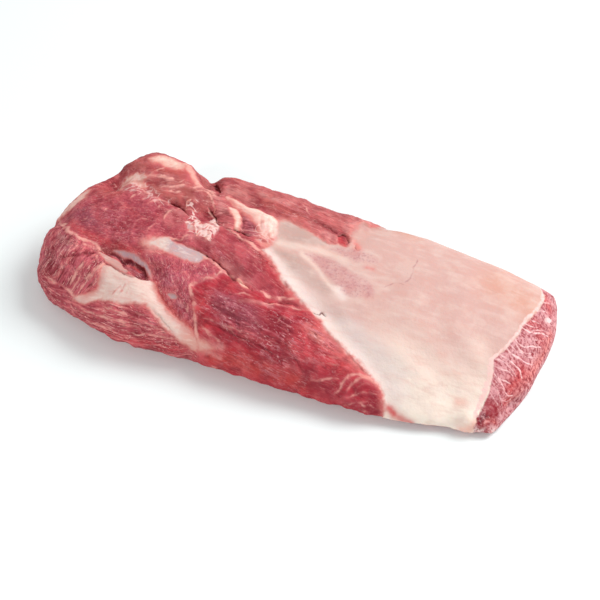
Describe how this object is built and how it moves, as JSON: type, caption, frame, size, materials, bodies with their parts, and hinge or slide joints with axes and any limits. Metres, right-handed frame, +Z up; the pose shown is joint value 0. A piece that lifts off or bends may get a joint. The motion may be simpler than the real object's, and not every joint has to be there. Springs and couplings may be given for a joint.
{
  "type": "whole oyster blade of raw beef",
  "caption": "Whole raw boneless oyster blade of beef: a long block of lean muscle lying flat, with a pale fat cover over its thinner half and a slanting marbled cut at the thin end.",
  "frame": {"origin": "middle of the underside, on the surface it lies on", "axes": "+X along the length towards the thin cut end, +Y towards the back edge, +Z up"},
  "size_m": [0.3722, 0.1584, 0.0626],
  "materials": {
    "raw_beef": "moist satin"
  },
  "bodies": {
    "root": {"blade": "raw_beef"}
  },
  "joints": []
}
